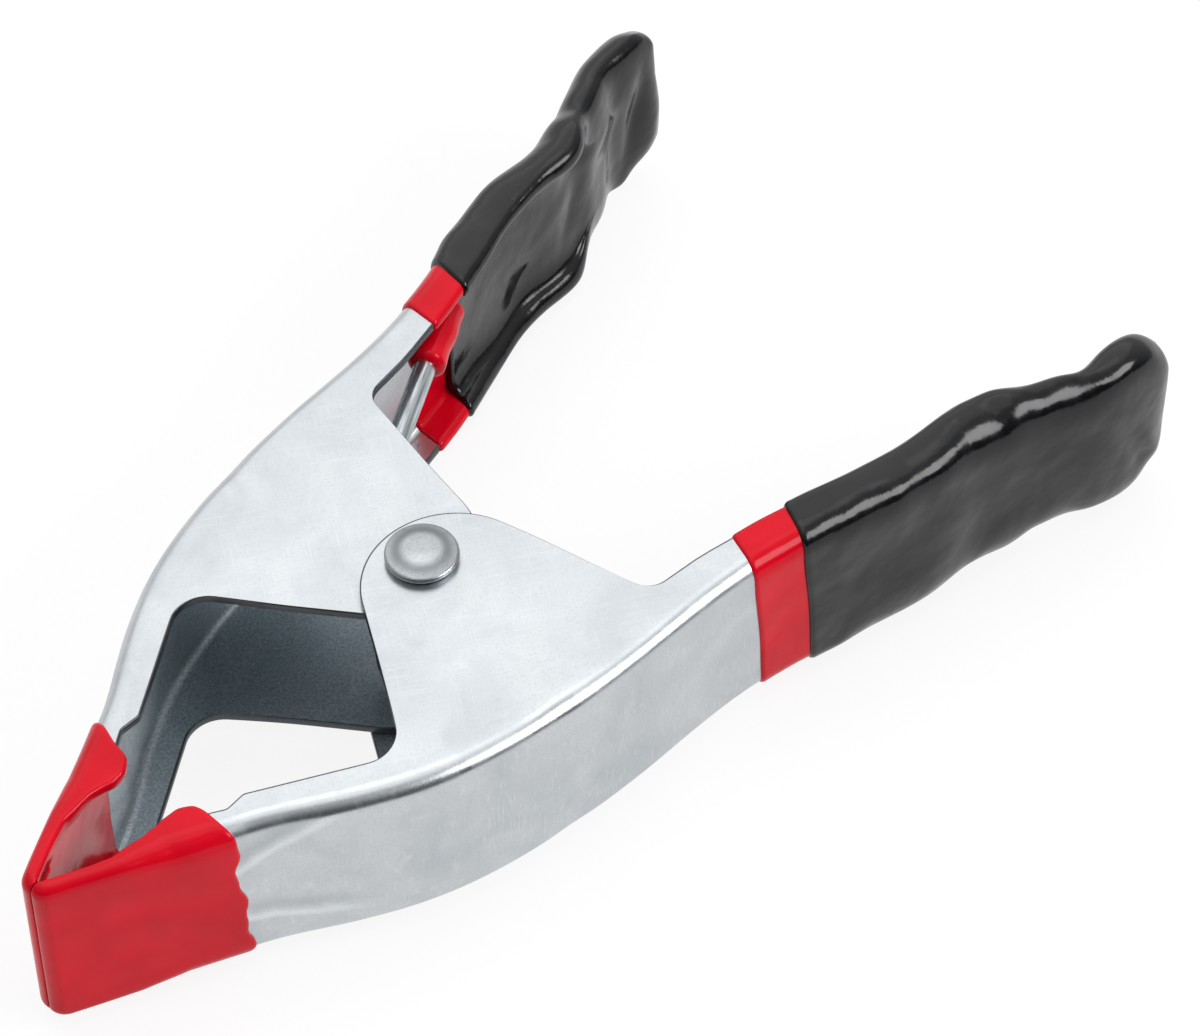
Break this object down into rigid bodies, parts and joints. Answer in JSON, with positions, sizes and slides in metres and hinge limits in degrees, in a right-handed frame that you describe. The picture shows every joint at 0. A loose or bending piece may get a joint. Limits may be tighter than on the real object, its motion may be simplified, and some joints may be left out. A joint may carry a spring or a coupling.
{
  "type": "spring clamp",
  "caption": "Hand-squeezed spring clamp: pressed steel levers on a rivet, a torsion spring that closes the jaws, and dipped vinyl on jaws and handles.",
  "frame": {"origin": "on the pivot axis, at the flat face of the rivet's formed tail, which the clamp lies on", "axes": "+Z along the pivot axis towards the rivet's head, -X along the centre line towards the jaws, +X towards the handles, +Y towards the inner lever"},
  "size_m": [0.1521, 0.0928, 0.0303],
  "materials": {
    "zinc_plated_steel": "bright zinc plate on pressed sheet",
    "rivet_steel": "satin zinc plate",
    "spring_wire": "drawn wire, polished lengthwise",
    "red_vinyl": "glossy dipped vinyl",
    "black_vinyl": "glossy dipped vinyl, slightly lumpy"
  },
  "bodies": {
    "outer_lever": {"outer_arm": "zinc_plated_steel", "pivot_rivet": "rivet_steel", "torsion_spring": "spring_wire", "outer_jaw_coat": "red_vinyl", "outer_handle_base_coat": "red_vinyl", "outer_grip": "black_vinyl"},
    "inner_lever": {"inner_arm": "zinc_plated_steel", "inner_jaw_coat": "red_vinyl", "inner_handle_base_coat": "red_vinyl", "inner_grip": "black_vinyl"}
  },
  "joints": [
    {"name": "jaw_pivot", "type": "hinge", "parent": "outer_lever", "child": "inner_lever", "pos_m": [0, 0, 0.01498], "axis": [0, 0, -1], "range_deg": [0, 48], "stiffness_Nm_per_rad": 3, "springref_deg": -68.75, "deforming": ["torsion_spring"]}
  ]
}
